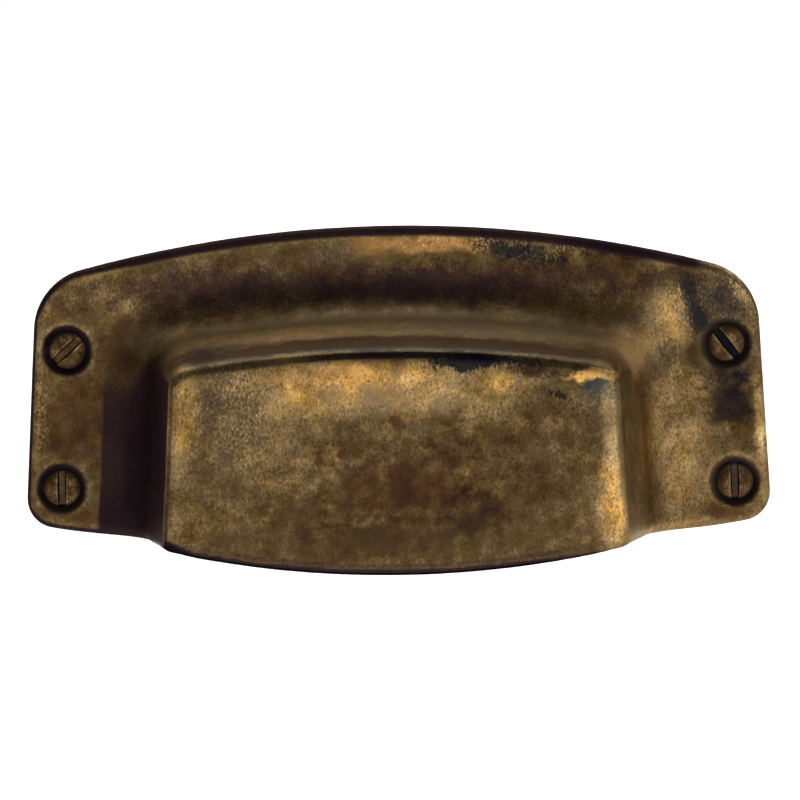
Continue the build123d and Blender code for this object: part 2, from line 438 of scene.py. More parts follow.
@dataclass(frozen=True)
class PatinatedBrass:
    """Sand-cast brass, chemically darkened, then waxed and rubbed back by use.

    What the eye sees is a warm metal whose dark skin is worn through in cloudy patches: gold where it is proud,
    brown to black where it is sheltered, with pin-point dark pits from the casting sand all over. A range gives the
    two readings between which something changes and, where it isn't 0 to 1, what it changes from and to.
    """

    name: str = "patinated_cast_brass"
    # Noises, from clouds of patina down to the casting sand
    cloud: Noise = Noise(8.0, 3.0, 0.55)
    bloom: Noise = Noise(2.8, 4.0, 0.6)
    drift: Noise = Noise(2.6, 4.0)
    drift_reach_mm: float = 1.6
    mottle: Noise = Noise(2.2, 6.0, 0.68)
    grain: Noise = Noise(0.30, 2.0, 0.6)
    grain_draw: tuple[float, float, float] = (1.0, 1.0, 0.6)
    sand_mm: float = 0.17
    sand_share: float = 0.3
    # Wear away from the marks, and how far the noises and the relief move it
    plain_wear: float = 0.42
    cloud_swing: float = 0.45
    mottle_swing: tuple[float, float] = (0.9, 0.3)
    grain_swing: float = 0.62
    relief_swing: float = 0.16
    tones: Steps = (
        (0.0, Tone.INK),
        (0.15, Tone.UMBER),
        (0.32, Tone.BROWN),
        (0.48, Tone.OLIVE),
        (0.64, Tone.TAN),
        (0.82, Tone.GOLD),
        (1.0, Tone.BRIGHT),
    )
    # Hue and strength of the colour, by the blooms, and what bare metal adds
    bare_by_wear: Range = (0.64, 0.80)
    hue_by_bloom: Range = (0.3, 0.7, 0.496, 0.506)
    hue_bare: float = -0.006
    strength_by_bloom: Range = (0.35, 0.65, 0.94, 1.08)
    strength_bare: float = 0.14
    # Pits of the casting sand
    pit_gap_mm: float = 0.52
    pit_by_reach: Range = (0.50, 0.16)
    pit_cloud: float = 1.6
    pit_by_crowd: Range = (1.15, 1.45)
    pit_cover: float = 0.5
    # Dark skin and painted shade, the painted reflection line round the hood's face, and the screw seats' dark ring
    soot_and_shade_mottle: float = 0.5
    cover_by_soot_and_shade: Range = (0.45, 1.0, 0.0, 0.93)
    crest_by_tip: Range = (0.72, 0.86, 0.0, 0.6)
    line_by_tip: tuple[Range, Range] = ((0.80, 0.68), (0.16, 0.34))
    lip_by_soot: Range = (1.0, 1.4, 0.0, 0.85)
    soot_and_shade_dullness: float = 0.35
    edge_tone: str = "#E2DCD6"
    black_edge_tone: str = "#3A3634"
    # The dark ring round each screw head: partly dirt, partly painted shade of the groove
    seat_dirt_and_shade: Mark = Mark(0.0, 0.0, 3.5, 3.5, tone=Tone.GRIME, cover=0.95, softness=0.09, raggedness=0.06, crisp=True)
    seats: tuple[tuple[float, float], ...] = ()
    # Surface
    powder: Mark = Mark(31.6, 8.8, 3.0, 2.6, y=-8.0, half_depth=5.0, softness=0.7, raggedness=0.4)
    powder_cover: float = 0.75
    rough_by_wear: Range = (0.1, 0.9, 0.52, 0.34)
    grain_rough: float = 0.12
    soot_and_shade_rough: float = 0.12
    skin_relief_mm: float = 0.05
    relief_strength: float = 0.5
    mottle_height: float = 0.8
    pit_height: float = -0.6

    def material(self) -> bpy.types.Material:
        """Build the finish.

        Returns:
            The material, ready for a piece that carries the relief, front, soot-and-shade, painted edge band and tip
            attributes.
        """
        material = new_material(self.name)
        tree = material.node_tree
        ground = self._ground(tree)
        wear, broad = self._wear(ground)
        colour = self._patina(ground, wear, broad)
        colour, pits = self._pit(ground, colour)
        colour = self._stain(ground, colour)
        colour, soot_and_shade, glance = self._blacken(ground, colour)

        rough = add_node(tree, "MapRange", (wear, *self.rough_by_wear))[0]
        for layer, share in ((ground.grain, self.grain_rough), (soot_and_shade, self.soot_and_shade_rough)):
            rough = add_node(tree, "Math", (layer, share, rough), operation="MULTIPLY_ADD")[0]
        height = ground.grain
        for layer, share in ((ground.mottle, self.mottle_height), (pits, self.pit_height)):
            height = add_node(tree, "Math", (layer, share, height), operation="MULTIPLY_ADD")[0]
        depth = self.skin_relief_mm * MM
        bump = add_node(tree, "Bump", {"Strength": self.relief_strength, "Distance": depth, "Height": height})[0]
        # A dry bloom of oxide in one corner of the cove hides the metal
        powder = self._oval(ground, self.powder, ground.mottle, -self.powder_cover)
        metal = add_node(tree, "Math", (powder, ground.front, 1.0), operation="MULTIPLY_ADD")[0]
        shader = add_node(
            tree,
            "BsdfPrincipled",
            {"Base Color": colour, "Metallic": metal, "Roughness": rough, "Specular Tint": glance, "Normal": bump},
        )[0]
        add_node(tree, "OutputMaterial", {"Surface": shader})
        return material

    def _ground(self, tree: Tree) -> Ground:
        """Gather what the layers read.

        Args:
            tree: The material's node tree.

        Returns:
            The places, noises and attributes.
        """
        place = add_node(tree, "TexCoord")["Object"]
        mm = add_node(tree, "VectorMath", {0: place, "Scale": 1 / MM}, operation="SCALE")[0]
        # Rubbing draws the grain out a little, up and down
        rubbed = add_node(tree, "Mapping", {"Vector": mm, "Scale": self.grain_draw})[0]
        drift, cloud, mottle, grain, bloom = (
            add_node(
                tree,
                "TexNoise",
                {"Vector": where, "Scale": 1 / noise.spot_mm, "Detail": noise.layers, "Roughness": noise.fine},
            )
            for noise, where in (
                (self.drift, mm),
                (self.cloud, mm),
                (self.mottle, mm),
                (self.grain, rubbed),
                (self.bloom, mm),
            )
        )
        centred = add_node(tree, "VectorMath", (drift["Color"], (0.5,) * 3), operation="SUBTRACT")[0]
        reach = (2 * self.drift_reach_mm,) * 3
        ragged = add_node(tree, "VectorMath", (centred, reach, mm), operation="MULTIPLY_ADD")[0]
        sand = add_node(tree, "TexVoronoi", {"Vector": rubbed, "Scale": 1 / self.sand_mm})["Color"]
        sandy = add_node(tree, "Mix", {0: self.sand_share, 2: grain["Fac"], 3: sand})[0]
        crumble = add_node(tree, "Math", (sandy, mottle["Fac"]))[0]
        crumble = add_node(tree, "Math", (crumble, 0.5), operation="SUBTRACT")[0]
        noted = {
            name: add_node(tree, "Attribute", attribute_name=name)["Fac"]
            for name in ("relief", "front", "soot_and_shade", "painted_edge_band", "tip")
        }
        return Ground(
            tree=tree,
            mm=mm,
            ragged=ragged,
            cloud=cloud["Fac"],
            mottle=mottle["Fac"],
            grain=sandy,
            crumble=crumble,
            bloom=bloom["Color"],
            **noted,
        )

    def _oval(self, ground: Ground, mark: Mark, eater: Socket, full: float) -> Socket:
        """Draw one mark's oval.

        Args:
            ground: What the mark is laid on.
            mark: The mark to draw.
            eater: The noise that eats into the edge.
            full: The value inside the oval; outside it is 0.

        Returns:
            The socket that gives the oval.
        """
        tree = ground.tree
        place = ground.mm if mark.crisp else ground.ragged
        centre = Vector((mark.x, mark.y, mark.z))
        if mark.tilt:
            tilt = math.radians(mark.tilt)
            across = Vector((math.cos(tilt), 0.0, math.sin(tilt)))
            axes = (across, Vector((0.0, 1.0, 0.0)), Vector((-across.z, 0.0, across.x)))
            parts = [add_node(tree, "VectorMath", (place, axis), operation="DOT_PRODUCT")["Value"] for axis in axes]
            place = add_node(tree, "CombineXYZ", parts)[0]
            centre = Vector([axis.dot(centre) for axis in axes])
        shrink = Vector((1 / mark.half_width, 1 / mark.half_depth, 1 / mark.half_height))
        unit = add_node(tree, "VectorMath", (place, shrink, -centre * shrink), operation="MULTIPLY_ADD")[0]
        radius = add_node(tree, "VectorMath", (unit,), operation="LENGTH")["Value"]
        eaten = add_node(tree, "Math", (eater, 2 * mark.raggedness, radius), operation="MULTIPLY_ADD")[0]
        edge = 1.0 + mark.raggedness
        span = (edge - mark.softness, edge + mark.softness, full, 0.0)
        return add_node(tree, "MapRange", (eaten, *span), interpolation_type="SMOOTHSTEP")[0]

    def _wear(self, ground: Ground) -> tuple[Socket, Socket]:
        """Work out how far the dark skin is rubbed through, 0 for none to 1 for bright metal; some marks paint light
        or shade.

        Args:
            ground: What the wear is laid on.

        Returns:
            The socket that gives the wear, and the one that gives it before noise.
        """
        tree = ground.tree
        rubbed: Any = 0.0
        sandy: Any = 0.0
        for mark in MARKS:
            if mark.wear:
                oval = self._oval(ground, mark, ground.mottle, mark.wear)
                rubbed = add_node(tree, "Math", (rubbed, oval))[0]
            if mark.grit:
                oval = self._oval(ground, mark, ground.mottle, mark.grit)
                sandy = add_node(tree, "Math", (sandy, oval))[0]
        broad = add_node(tree, "Math", (rubbed, ground.front, self.plain_wear), operation="MULTIPLY_ADD")[0]
        sandy = add_node(tree, "Math", (sandy, ground.front), operation="MULTIPLY")[0]
        fine = add_node(tree, "Math", (broad, self.grain_swing), operation="MINIMUM")[0]
        fine = add_node(tree, "Math", (fine, sandy))[0]
        blotchy = add_node(tree, "Math", (broad, *self.mottle_swing), operation="MULTIPLY_ADD")[0]
        wear = broad
        for noise, swing in ((ground.cloud, self.cloud_swing), (ground.mottle, blotchy), (ground.grain, fine)):
            centred = add_node(tree, "Math", (noise, 0.5), operation="SUBTRACT")[0]
            wear = add_node(tree, "Math", (centred, swing, wear), operation="MULTIPLY_ADD")[0]
        wear = add_node(tree, "Math", (ground.relief, self.relief_swing, wear), operation="MULTIPLY_ADD")[0]
        return wear, broad

    def _patina(self, ground: Ground, wear: Socket, broad: Socket) -> Socket:
        """Colour the metal by its wear, warmer where it is bare, with the blooms of an uneven patina.

        Args:
            ground: What the colour is laid on.
            wear: How far the skin is rubbed through.
            broad: The same before noise.

        Returns:
            The socket that gives the colour.
        """
        tree = ground.tree
        ramp = add_node(tree, "ValToRGB", {"Fac": wear})[0]
        set_stops(ramp.node.color_ramp, self.tones)
        bare = add_node(tree, "MapRange", (broad, *self.bare_by_wear))[0]
        blooms = add_node(tree, "SeparateColor", (ground.bloom,))
        shifts = []
        for bloom, span, more in (
            (blooms[0], self.hue_by_bloom, self.hue_bare),
            (blooms[1], self.strength_by_bloom, self.strength_bare),
        ):
            shift = add_node(tree, "MapRange", (bloom, *span))[0]
            shifts.append(add_node(tree, "Math", (bare, more, shift), operation="MULTIPLY_ADD")[0])
        return add_node(tree, "HueSaturation", {"Hue": shifts[0], "Saturation": shifts[1], "Color": ramp})[0]

    def _pit(self, ground: Ground, colour: Socket) -> tuple[Socket, Socket]:
        """Scatter the dark pin-point pits that the casting sand leaves.

        Args:
            ground: What the pits are laid on.
            colour: The patina's colour.

        Returns:
            The socket that gives the pitted colour, and the one that gives the pits.
        """
        tree = ground.tree
        cells = add_node(tree, "TexVoronoi", {"Vector": ground.mm, "Scale": 1 / self.pit_gap_mm})
        dot = add_node(tree, "MapRange", (cells["Distance"], *self.pit_by_reach), interpolation_type="SMOOTHSTEP")[0]
        crowd = add_node(tree, "Math", (ground.cloud, self.pit_cloud, cells["Color"]), operation="MULTIPLY_ADD")[0]
        there = add_node(tree, "MapRange", (crowd, *self.pit_by_crowd))[0]
        pits = add_node(tree, "Math", (dot, there), operation="MULTIPLY")[0]
        share = add_node(tree, "Math", (pits, self.pit_cover), operation="MULTIPLY")[0]
        pitted = add_node(tree, "Mix", {0: share, 6: colour, 7: linear(Tone.UMBER.value)}, data_type="RGBA")[2]
        return pitted, pits

    def _stain(self, ground: Ground, colour: Socket) -> Socket:
        """Lay the stains over the patina, some painted light or shade, and the screw seats' ring of dirt and painted
        shade.

        Args:
            ground: What the stains are laid on.
            colour: The patina's colour.

        Returns:
            The socket that gives the stained colour.
        """
        tree = ground.tree
        for mark in MARKS + tuple(replace(self.seat_dirt_and_shade, x=x, z=z) for x, z in self.seats):
            if mark.tone is None:
                continue
            oval = self._oval(ground, mark, ground.crumble, mark.cover)
            share = add_node(tree, "Math", (oval, ground.front), operation="MULTIPLY")[0]
            colour = add_node(tree, "Mix", {0: share, 6: colour, 7: linear(mark.tone.value)}, data_type="RGBA")[2]
        return colour

    def _blacken(self, ground: Ground, colour: Socket) -> tuple[Socket, Socket, Socket]:
        """Leave the dark skin on the edges that hands don't reach, with painted shade on the left of the hood, and
        paint a reflection round the hood's face: a black line under a cool grey crest.

        Args:
            ground: What the dark skin is laid on.
            colour: The stained colour.

        Returns:
            The sockets that give the colour with dark edges, the share of dark skin and painted shade, and the
            glancing tint.
        """
        tree = ground.tree
        broken = add_node(tree, "Math", (ground.mottle, self.soot_and_shade_mottle, ground.soot_and_shade), operation="MULTIPLY_ADD")[0]
        soot_and_shade = add_node(tree, "MapRange", (broken, *self.cover_by_soot_and_shade), interpolation_type="SMOOTHSTEP")[0]
        # Painted reflection on the face's edge: its crest is cool grey, and a black line lies under it, where the
        # metal tips but not right over
        crest = add_node(tree, "MapRange", (ground.tip, *self.crest_by_tip))[0]
        crest = add_node(tree, "Math", (crest, ground.painted_edge_band), operation="MULTIPLY")[0]
        line = ground.painted_edge_band
        for span in self.line_by_tip:
            part = add_node(tree, "MapRange", (ground.tip, *span))[0]
            line = add_node(tree, "Math", (line, part), operation="MULTIPLY")[0]
        lip = add_node(tree, "MapRange", (ground.soot_and_shade, *self.lip_by_soot))[0]
        black = add_node(tree, "Math", (line, lip), operation="MAXIMUM")[0]
        for share, tone in ((soot_and_shade, Tone.SOOT), (crest, Tone.SLATE), (black, Tone.INK)):
            colour = add_node(tree, "Mix", {0: share, 6: colour, 7: linear(tone.value)}, data_type="RGBA")[2]
        # Dark skin, the painted shade on the left of the hood and the black line have little sheen at a glance
        dull = add_node(tree, "Math", (soot_and_shade, self.soot_and_shade_dullness), operation="MULTIPLY")[0]
        dull = add_node(tree, "Math", (black, dull), operation="MAXIMUM")[0]
        tints = {6: linear(self.edge_tone), 7: linear(self.black_edge_tone)}
        glance = add_node(tree, "Mix", {0: dull, **tints}, data_type="RGBA")[2]
        return colour, soot_and_shade, glance


@dataclass(frozen=True)
class ScrewBrass:
    """Turned brass wood screws, darkened with the pull.

    What the eye sees is a dull brown-gold disc with a dark ring round its rim, partly dirt and partly painted shade
    of the groove, dirt in its slot, painted shade on the slot's sides, and slot edges that a screwdriver has
    brightened. Ranges are as in the patina.
    """

    name: str = "darkened_screw_brass"
    mottle: Noise = Noise(1.1, 5.0, 0.65)
    grain: Noise = Noise(0.3)
    relief_swing: float = 0.45
    grain_swing: float = 0.3
    tones: Steps = ((0.38, Tone.UMBER), (0.66, Tone.BROWN), (0.87, Tone.TAN), (1.0, Tone.GOLD))
    dirt_and_shade_mottle: float = 0.3
    grime_by_dirt_and_shade: Range = (0.86, 1.08)
    ink_by_dirt_and_shade: Range = (1.25, 1.5)
    rough_by_wear: Range = (0.3, 1.0, 0.5, 0.34)
    skin_relief_mm: float = 0.03
    relief_strength: float = 0.4

    def material(self) -> bpy.types.Material:
        """Build the finish.

        Returns:
            The material, ready for a piece that carries the dirt-and-shade and relief attributes.
        """
        material = new_material(self.name)
        tree = material.node_tree
        place = add_node(tree, "TexCoord")["Object"]
        mm = add_node(tree, "VectorMath", {0: place, "Scale": 1 / MM}, operation="SCALE")[0]
        mottle, grain = (
            add_node(
                tree,
                "TexNoise",
                {"Vector": mm, "Scale": 1 / noise.spot_mm, "Detail": noise.layers, "Roughness": noise.fine},
            )["Fac"]
            for noise in (self.mottle, self.grain)
        )
        dirt_and_shade, relief = (add_node(tree, "Attribute", attribute_name=name)["Fac"] for name in ("dirt_and_shade", "relief"))
        wear = mottle
        for layer, swing in ((relief, self.relief_swing), (grain, self.grain_swing)):
            wear = add_node(tree, "Math", (layer, swing, wear), operation="MULTIPLY_ADD")[0]
        colour = add_node(tree, "ValToRGB", {"Fac": wear})[0]
        set_stops(colour.node.color_ramp, self.tones)
        # Dark ring round the rim and dark slot sides: partly dirt, partly painted shade
        edge = add_node(tree, "Math", (mottle, self.dirt_and_shade_mottle, dirt_and_shade), operation="MULTIPLY_ADD")[0]
        for span, blend, tone in (
            (self.grime_by_dirt_and_shade, "SMOOTHSTEP", Tone.GRIME),
            (self.ink_by_dirt_and_shade, "LINEAR", Tone.INK),
        ):
            share = add_node(tree, "MapRange", (edge, *span), interpolation_type=blend)[0]
            colour = add_node(tree, "Mix", {0: share, 6: colour, 7: linear(tone.value)}, data_type="RGBA")[2]
        rough = add_node(tree, "MapRange", (wear, *self.rough_by_wear))[0]
        depth = self.skin_relief_mm * MM
        bump = add_node(tree, "Bump", {"Strength": self.relief_strength, "Distance": depth, "Height": grain})[0]
        shader = add_node(
            tree, "BsdfPrincipled", {"Base Color": colour, "Metallic": 1.0, "Roughness": rough, "Normal": bump}
        )[0]
        add_node(tree, "OutputMaterial", {"Surface": shader})
        return material


@dataclass
class SubAssembly:
    """A part of the pull that stands for one node of the frame."""

    node: str
    name: str
    slot: str

    def dress(self, pieces: list[Piece], material: bpy.types.Material) -> None:
        """Give the pieces their finish and their place in the frame.

        Args:
            pieces: The finished pieces.
            material: The finish that they wear.
        """
        for piece in pieces:
            piece.data.materials.clear()
            piece.data.materials.append(material)
            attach(piece, BODY)
            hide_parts(self.node)


@dataclass
class Casting(SubAssembly):
    """The pull itself: flange, wings, hood and lip in one casting. Lengths are millimetres.

    Limits are where a share is 0 and where it is 1, along an axis of the frame or along a part of the normal.
    """

    node: str = "pull_casting"
    name: str = "pull_casting_skin"
    slot: str = "patinated_cast_brass"
    weld: float = 0.002
    mesh_step: float = 0.38
    easing: float = 0.5
    edge_passes: int = 2
    corner_x: float = 30.3
    corner_z: float = -16.5
    corner_reach: float = 4.0
    corner_front: Limits = (-8.0, -16.0)
    corner_least: float = 0.01
    corner_passes: int = 50
    skin_swell: float = 5.0
    skin_layers: int = 3
    skin_depth: float = 0.06
    relief_passes: int = 6
    relief_full: float = 0.07
    probe: float = 0.2
    front_passes: int = 3
    # Dark skin on the rim of the flange
    turned: Limits = (-1.0, -0.8)
    facing_up: Limits = (0.0, 0.25)
    facing_left: Limits = (-0.3, -0.8)
    flange_front: float = -3.0
    flange_slack: float = 0.15
    arch_centre: float = -140.8
    arch_radius: float = 166.3
    arch_soot: float = 1.27
    arch_blur: float = 0.5
    arch_start: Limits = (-52.0, -34.0)
    arch_start_least: float = 0.2
    arch_end: Limits = (43.0, 39.0)
    # Dark skin on the lip and under it
    facing_down: Limits = (0.0, -0.3)
    under_reach: float = 5.0
    lip_centre: float = 120.6
    lip_radius: float = 139.75
    lip_half: float = 31.0
    lip_front: float = -12.0
    lip_along: tuple[float, ...] = (-30.7, -30.2, -29.6, -28.3, -26.5, 18.0, 22.0, 27.0)
    lip_width: tuple[float, ...] = (0.4, 1.2, 1.4, 1.0, 0.62, 0.62, 0.4, 0.2)
    lip_blur: float = 0.45
    lip_most: float = 1.5
    lip_haze: float = 0.52
    lip_haze_width: Limits = (2.2, 1.5)
    lip_gloss: Limits = (26.0, 30.5)
    # Painted shade on the left of the cove and the wall, the side turned from the light, which deepens from the flange
    # to the hood
    side_shade_strength: float = 0.70
    side_deep: Limits = (-3.8, -6.0)
    side_lean: float = 0.05
    side_start: Limits = (-39.9, -39.5)
    side_end: float = -25.0
    side_cove: float = -14.0
    side_wall: Limits = (-0.86, -0.94)
    side_top_flange: Limits = (13.0, 2.0)
    side_top_hood: Limits = (10.5, 6.5)
    side_flange_share: float = 0.88
    side_cove_lighter: float = 0.25
    side_cove_lighter_turn: Limits = (-0.7, -0.9)
    side_foot: float = 0.2
    side_foot_level: Limits = (-9.0, -13.0)
    # Painted reflection along the top and left edges of the face: a black line under a cool grey crest
    line_along: tuple[float, ...] = (-30.0, -27.0, -24.0, -14.0, -10.0, 13.0, 16.0, 24.0, 27.0)
    line_share: tuple[float, ...] = (0.0, 0.45, 0.62, 0.62, 0.9, 0.95, 0.6, 0.55, 0.0)
    line_top: float = 4.0
    line_front: Limits = (-20.0, -20.6)
    line_left_share: float = 0.55
    line_left: Limits = (-27.0, -28.0)
    line_left_foot: Limits = (-18.0, -16.0)
    line_left_wall: Limits = (-0.97, -0.94)
    tip_left: Limits = (-0.455, -0.955)

    def build(self) -> list[Piece]:
        """Model the casting on its frame node and mark its surface.

        Returns:
            The one finished piece, without its material.
        """
        piece = self._rough_casting()
        self._sand_skin(piece)
        self._survey(piece)
        take(piece)
        bpy.ops.object.shade_smooth()
        return [piece]

    def _rough_casting(self) -> Piece:
        """Copy the frame's solid as one even skin with softened edges.

        Returns:
            The new piece.
        """
        solid = frame["nodes"][self.node]
        piece = solid.copy()
        piece.data = solid.data.copy()
        piece.name = piece.data.name = self.name
        for key in list(piece.keys()):
            del piece[key]
        bpy.context.scene.collection.objects.link(piece)
        take(piece)
        bpy.ops.mesh.customdata_custom_splitnormals_clear()
        bpy.ops.object.mode_set(mode="EDIT")
        bpy.ops.mesh.select_all(action="SELECT")
        bpy.ops.mesh.remove_doubles(threshold=self.weld * MM)
        bpy.ops.object.mode_set(mode="OBJECT")
        finish_with(piece, "REMESH", mode="VOXEL", voxel_size=self.mesh_step * MM, adaptivity=0.0)
        finish_with(piece, "SHRINKWRAP", target=solid, wrap_method="NEAREST_SURFACEPOINT")
        finish_with(piece, "SMOOTH", factor=self.easing, iterations=self.edge_passes)
        self._ease_corners(piece)
        return piece

    def _ease_corners(self, piece: Piece) -> None:
        """Round the lower corners of the hood further, as the moulder's hand did.

        Args:
            piece: The casting.
        """
        x, y, z = (points_of(piece.data) / MM).T
        near = fade(np.hypot(np.abs(x) - self.corner_x, z - self.corner_z), self.corner_reach, 0.0)
        near *= fade(y, *self.corner_front)
        group = piece.vertex_groups.new(name="lower_corners")
        for index in np.flatnonzero(near > self.corner_least):
            group.add([int(index)], float(near[index]), "REPLACE")
        finish_with(piece, "SMOOTH", factor=self.easing, iterations=self.corner_passes, vertex_group=group.name)
        piece.vertex_groups.clear()

    def _sand_skin(self, piece: Piece) -> None:
        """Press the slight swells of a sand casting into the skin, inwards only.

        Args:
            piece: The casting.
        """
        swell = bpy.data.textures.new("sand_swell", "CLOUDS")
        swell.noise_scale = self.skin_swell * MM
        swell.noise_depth = self.skin_layers
        depth = self.skin_depth * MM
        finish_with(piece, "DISPLACE", texture=swell, texture_coords="LOCAL", mid_level=1.0, strength=depth)

    def _survey(self, piece: Piece) -> None:
        """Note on each vertex what the finish reads: relief, front, dark skin with painted shade, painted edge
        reflection and tip of the edge.

        Args:
            piece: The casting.
        """
        mesh = piece.data
        count = len(mesh.vertices)
        place, normal = points_of(mesh), points_of(mesh, "normal")
        ends = np.empty(len(mesh.edges) * 2, np.int32)
        mesh.edges.foreach_get("vertices", ends)
        one, other = ends.reshape(-1, 2).T
        degree = np.bincount(one, minlength=count) + np.bincount(other, minlength=count)

        def spread(values: np.ndarray) -> np.ndarray:
            """Average each vertex's value over its neighbours."""
            total = np.bincount(one, values[other], count) + np.bincount(other, values[one], count)
            return total / np.maximum(degree, 1)

        smooth = place.copy()
        for _ in range(self.relief_passes):
            smooth = np.stack([spread(smooth[:, axis]) for axis in range(3)], axis=1)
        proud = ((place - smooth) * normal).sum(axis=1) / (self.relief_full * MM)
        write_share(mesh, "relief", np.clip(proud, -1.0, 1.0))

        # What a straight line from the room can reach is the front
        skin = BVHTree.FromObject(piece, bpy.context.evaluated_depsgraph_get())
        starts = place + normal * self.probe * MM
        forward = Vector((0.0, -1.0, 0.0))
        facing = np.array([float(skin.ray_cast(Vector(start), forward)[0] is None) for start in starts])
        for _ in range(self.front_passes):
            facing = spread(facing)
        write_share(mesh, "front", facing)
        # Dark skin, with painted shade on the left of the hood
        write_share(mesh, "soot_and_shade", self._dark_skin_and_shade(place / MM, normal) * facing)
        # Painted reflection lines along the top and left edges of the face
        write_share(mesh, "painted_edge_band", self._line(place / MM, normal))
        over = fade(normal[:, 0], *self.tip_left) * (place[:, 0] < 0.0)
        write_share(mesh, "tip", np.hypot(np.maximum(normal[:, 2], 0.0), over))

    def _line(self, place: np.ndarray, normal: np.ndarray) -> np.ndarray:
        """Say how strong the painted reflection is along the top and left edges of the hood's face.

        Args:
            place: Where each vertex is, in millimetres.
            normal: Which way it faces.

        Returns:
            One share per vertex, from 0 to 1.
        """
        x, y, z = place.T
        top = np.interp(x, self.line_along, self.line_share) * (z > self.line_top)
        left = self.line_left_share * fade(x, *self.line_left) * fade(z, *self.line_left_foot)
        left *= fade(normal[:, 0], *self.line_left_wall)
        return np.maximum(top, left) * fade(y, *self.line_front)

    def _dark_skin_and_shade(self, place: np.ndarray, normal: np.ndarray) -> np.ndarray:
        """Say what is dark: the dark skin on the top and left of the flange and on the lip, and painted shade on the
        left of the hood.

        Args:
            place: Where each vertex is, in millimetres.
            normal: Which way it faces.

        Returns:
            One share per vertex, from 0 to 1, and more than 1 along the lip, where it is black.
        """
        parts = (self._rim_soot, self._lip_soot, self._paint_side_shade)
        return np.maximum.reduce([part(place, normal) for part in parts])

    def _rim_soot(self, place: np.ndarray, normal: np.ndarray) -> np.ndarray:
        """Darken the top and left rim of the flange.

        Args:
            place: Where each vertex is, in millimetres.
            normal: Which way it faces.

        Returns:
            One share per vertex, from 0 to 1.
        """
        x, y, z = place.T
        flange = y > self.flange_front - self.flange_slack
        rim = fade(normal[:, 1], *self.turned) * flange
        to_arch = self.arch_radius - np.hypot(x, z - self.arch_centre)
        width = self.arch_soot * np.maximum(fade(x, *self.arch_start), self.arch_start_least)
        arch = fade(width - to_arch, -self.arch_blur, self.arch_blur) * flange
        top = np.maximum(arch, rim * fade(normal[:, 2], *self.facing_up)) * (z > 0.0)
        top *= fade(x, *self.arch_end)
        left = rim * fade(normal[:, 0], *self.facing_left) * (x < 0.0)
        return np.maximum(top, left)

    def _lip_soot(self, place: np.ndarray, normal: np.ndarray) -> np.ndarray:
        """Darken the lip along its edge and the flange's underside, but not the lip's rubbed right end.

        Args:
            place: Where each vertex is, in millimetres.
            normal: Which way it faces.

        Returns:
            One share per vertex, from 0 to lip_most.
        """
        x, y, z = place.T
        under = fade(normal[:, 1], *self.turned) * fade(normal[:, 2], *self.facing_down)
        under *= y > self.flange_front - self.under_reach
        to_lip = self.lip_radius - np.hypot(x, z - self.lip_centre)
        width = np.interp(x, self.lip_along, self.lip_width)
        band = np.clip(1.0 + (width - to_lip) / self.lip_blur, 0.0, self.lip_most)
        band = np.maximum(band, self.lip_haze * fade(to_lip, *self.lip_haze_width))
        band *= (np.abs(x) < self.lip_half) & (y < self.lip_front)
        return np.maximum(under, band) * (1.0 - fade(x, *self.lip_gloss))

    def _paint_side_shade(self, place: np.ndarray, normal: np.ndarray) -> np.ndarray:
        """Paint shade on the left of the cove and the wall, less on the cove by the flange and more at its foot.

        Args:
            place: Where each vertex is, in millimetres.
            normal: Which way it faces.

        Returns:
            One share per vertex, from 0 to 1.
        """
        x, y, z = place.T
        deep = fade(y, *self.side_deep)
        side = fade(x - self.side_lean * z, *self.side_start) * (x < self.side_end)
        side *= np.where(y > self.side_cove, 1.0, fade(normal[:, 0], *self.side_wall))
        tops = zip(self.side_top_flange, self.side_top_hood)
        side *= fade(z, *(flange + (hood - flange) * deep for flange, hood in tops))
        side *= self.side_flange_share + (1.0 - self.side_flange_share) * deep
        side *= 1.0 - self.side_cove_lighter * fade(normal[:, 0], *self.side_cove_lighter_turn) * (1.0 - deep)
        side *= 1.0 + self.side_foot * fade(z, *self.side_foot_level) * (1.0 - deep)
        return self.side_shade_strength * side


@dataclass(frozen=True)
class Seat:
    """Where a screw sits in the flange. Lengths are millimetres, turns are degrees."""

    name: str
    x: float
    z: float
    turn: float
    slot_dirt: float


